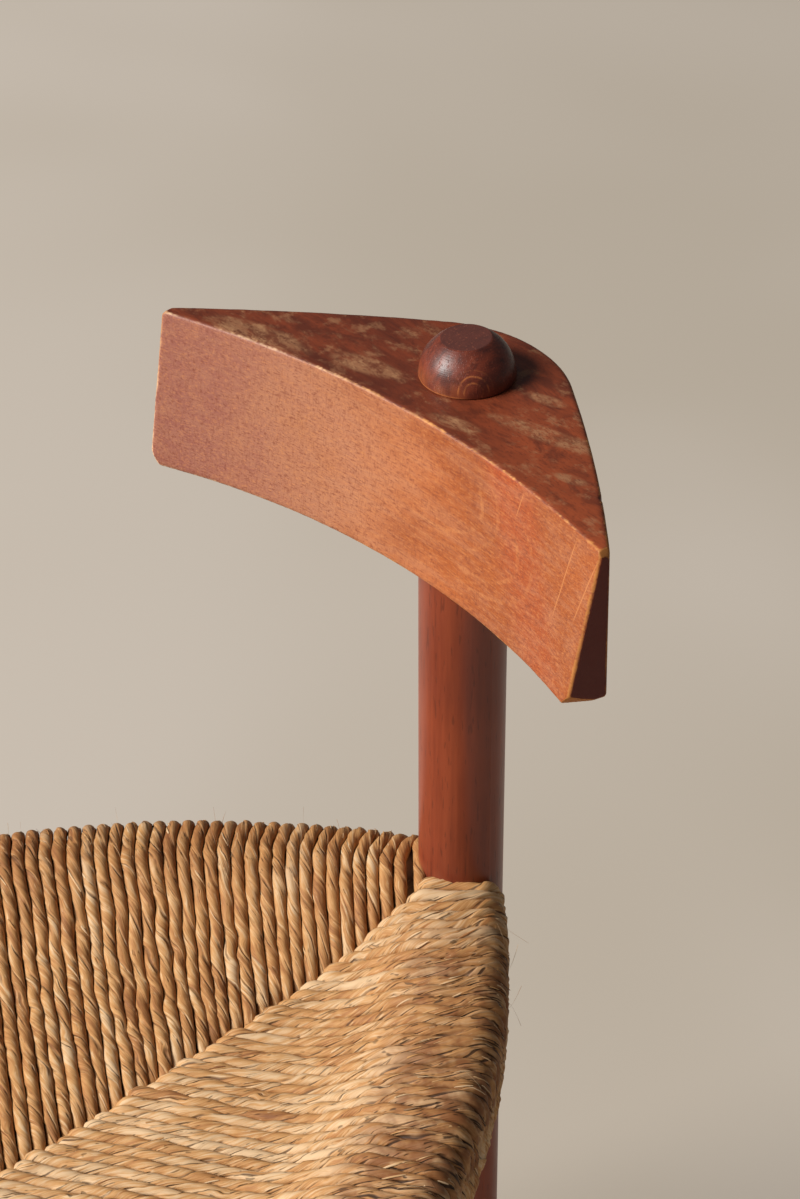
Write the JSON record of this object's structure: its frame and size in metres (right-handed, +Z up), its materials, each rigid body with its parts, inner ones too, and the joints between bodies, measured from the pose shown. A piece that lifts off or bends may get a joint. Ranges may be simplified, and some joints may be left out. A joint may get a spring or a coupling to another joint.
{
  "type": "three-legged rush seat chair",
  "caption": "Low-backed wooden chair with a woven rush seat on bowed rails and a crescent back block carried on the rear post.",
  "frame": {"origin": "on the floor, under the middle of the chair's bounding box", "axes": "+Z up, the sitter faces -Y and the back post stands at +Y; left and right are the sitter's own"},
  "size_m": [0.506, 0.4994, 0.697],
  "materials": {
    "stained_wood": "red-brown stained beech, satin lacquer",
    "worn_wood": "red-brown stained beech, satin lacquer worn through at the edges and on top",
    "dark_wood": "dark maroon stained turned wood, glossy lacquer",
    "rail_wood": "plain beech, hidden under the rush",
    "dowel_wood": "pale beech dowels",
    "rush": "twisted natural rush, golden tan, dry and slightly frayed",
    "padding": "loose rush offcuts packed between the two layers of the seat"
  },
  "bodies": {
    "root": {"rear_post": "stained_wood", "right_front_leg": "stained_wood", "left_front_leg": "stained_wood", "back_block": "worn_wood", "post_cap": "dark_wood", "front_rail": "rail_wood", "left_rail": "rail_wood", "right_rail": "rail_wood", "front_padding": "padding", "left_padding": "padding", "right_padding": "padding", "front_rush": "rush", "left_rush": "rush", "right_rush": "rush", "rear_dowels": "dowel_wood", "right_front_dowels": "dowel_wood", "left_front_dowels": "dowel_wood"}
  },
  "joints": []
}
